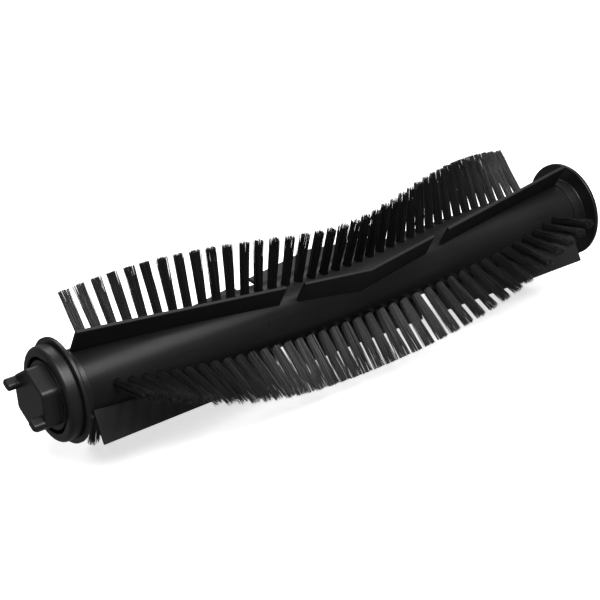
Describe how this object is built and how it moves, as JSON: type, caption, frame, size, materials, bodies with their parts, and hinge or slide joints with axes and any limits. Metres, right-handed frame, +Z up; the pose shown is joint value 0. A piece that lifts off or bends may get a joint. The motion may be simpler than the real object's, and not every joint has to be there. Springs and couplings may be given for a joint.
{
  "type": "floor cleaner brush roll",
  "caption": "Brush roll for a wet and dry floor cleaner: V-shaped bristle rows and rubber fins on a tube, with a pull-off bearing cap and a drive socket.",
  "frame": {"origin": "on the roll's axis, in the plane of the drive flange's outer face, at the mouth of the drive socket", "axes": "+X along the roll's axis, out of the drive socket, so the roll lies towards -X; +Z up, with the roll turned as it lies in the picture"},
  "size_m": [0.1925, 0.0497, 0.05],
  "materials": {
    "core_plastic": "satin black moulding",
    "cap_plastic": "semi-gloss black moulding",
    "insert_plastic": "satin dark moulding",
    "fin_elastomer": "soft black elastomer",
    "bristle_nylon": "black nylon filament",
    "steel": "bright steel",
    "bearing_steel": "ground bearing steel",
    "cage_brass": "pressed brass",
    "anchor_steel": "flat wire"
  },
  "bodies": {
    "roll": {"core_tube": "core_plastic", "stiffening_rod": "steel", "bearing_housing": "core_plastic", "guard_ring": "core_plastic", "bearing_outer_race": "bearing_steel", "bearing_shield_front": "steel", "bearing_shield_rear": "steel", "bearing_retainer": "steel", "retainer_screws": "steel", "drive_flange": "core_plastic", "drive_insert": "insert_plastic", "tufts_row_1": "bristle_nylon", "tufts_row_2": "bristle_nylon", "tufts_row_3": "bristle_nylon", "tuft_anchors_row_1": "anchor_steel", "tuft_anchors_row_2": "anchor_steel", "tuft_anchors_row_3": "anchor_steel", "fin_1_cap_side": "fin_elastomer", "fin_1_middle": "fin_elastomer", "fin_1_drive_side": "fin_elastomer", "fin_2_cap_side": "fin_elastomer", "fin_2_middle": "fin_elastomer", "fin_2_drive_side": "fin_elastomer", "fin_3_cap_side": "fin_elastomer", "fin_3_middle": "fin_elastomer", "fin_3_drive_side": "fin_elastomer"},
    "ball_cage": {"bearing_balls": "bearing_steel", "bearing_cage": "cage_brass"},
    "bearing_inner": {"bearing_inner_race": "bearing_steel"},
    "cap": {"bearing_cap": "cap_plastic", "stub_axle": "steel"}
  },
  "joints": [
    {"name": "roll_spin", "type": "hinge", "parent": "roll", "child": "bearing_inner", "pos_m": [-0.17945, 0, 0], "axis": [1, 0, 0], "continuous": true},
    {"name": "cage_spin", "type": "hinge", "parent": "roll", "child": "ball_cage", "pos_m": [-0.17945, 0, 0], "axis": [1, 0, 0], "continuous": true},
    {"name": "cap_pull", "type": "slide", "parent": "bearing_inner", "child": "cap", "axis": [-1, 0, 0], "range_m": [0, 0.015]}
  ],
  "couplings": [
    {"joint": "cage_spin", "follows": "roll_spin", "ratio": 0.4}
  ]
}
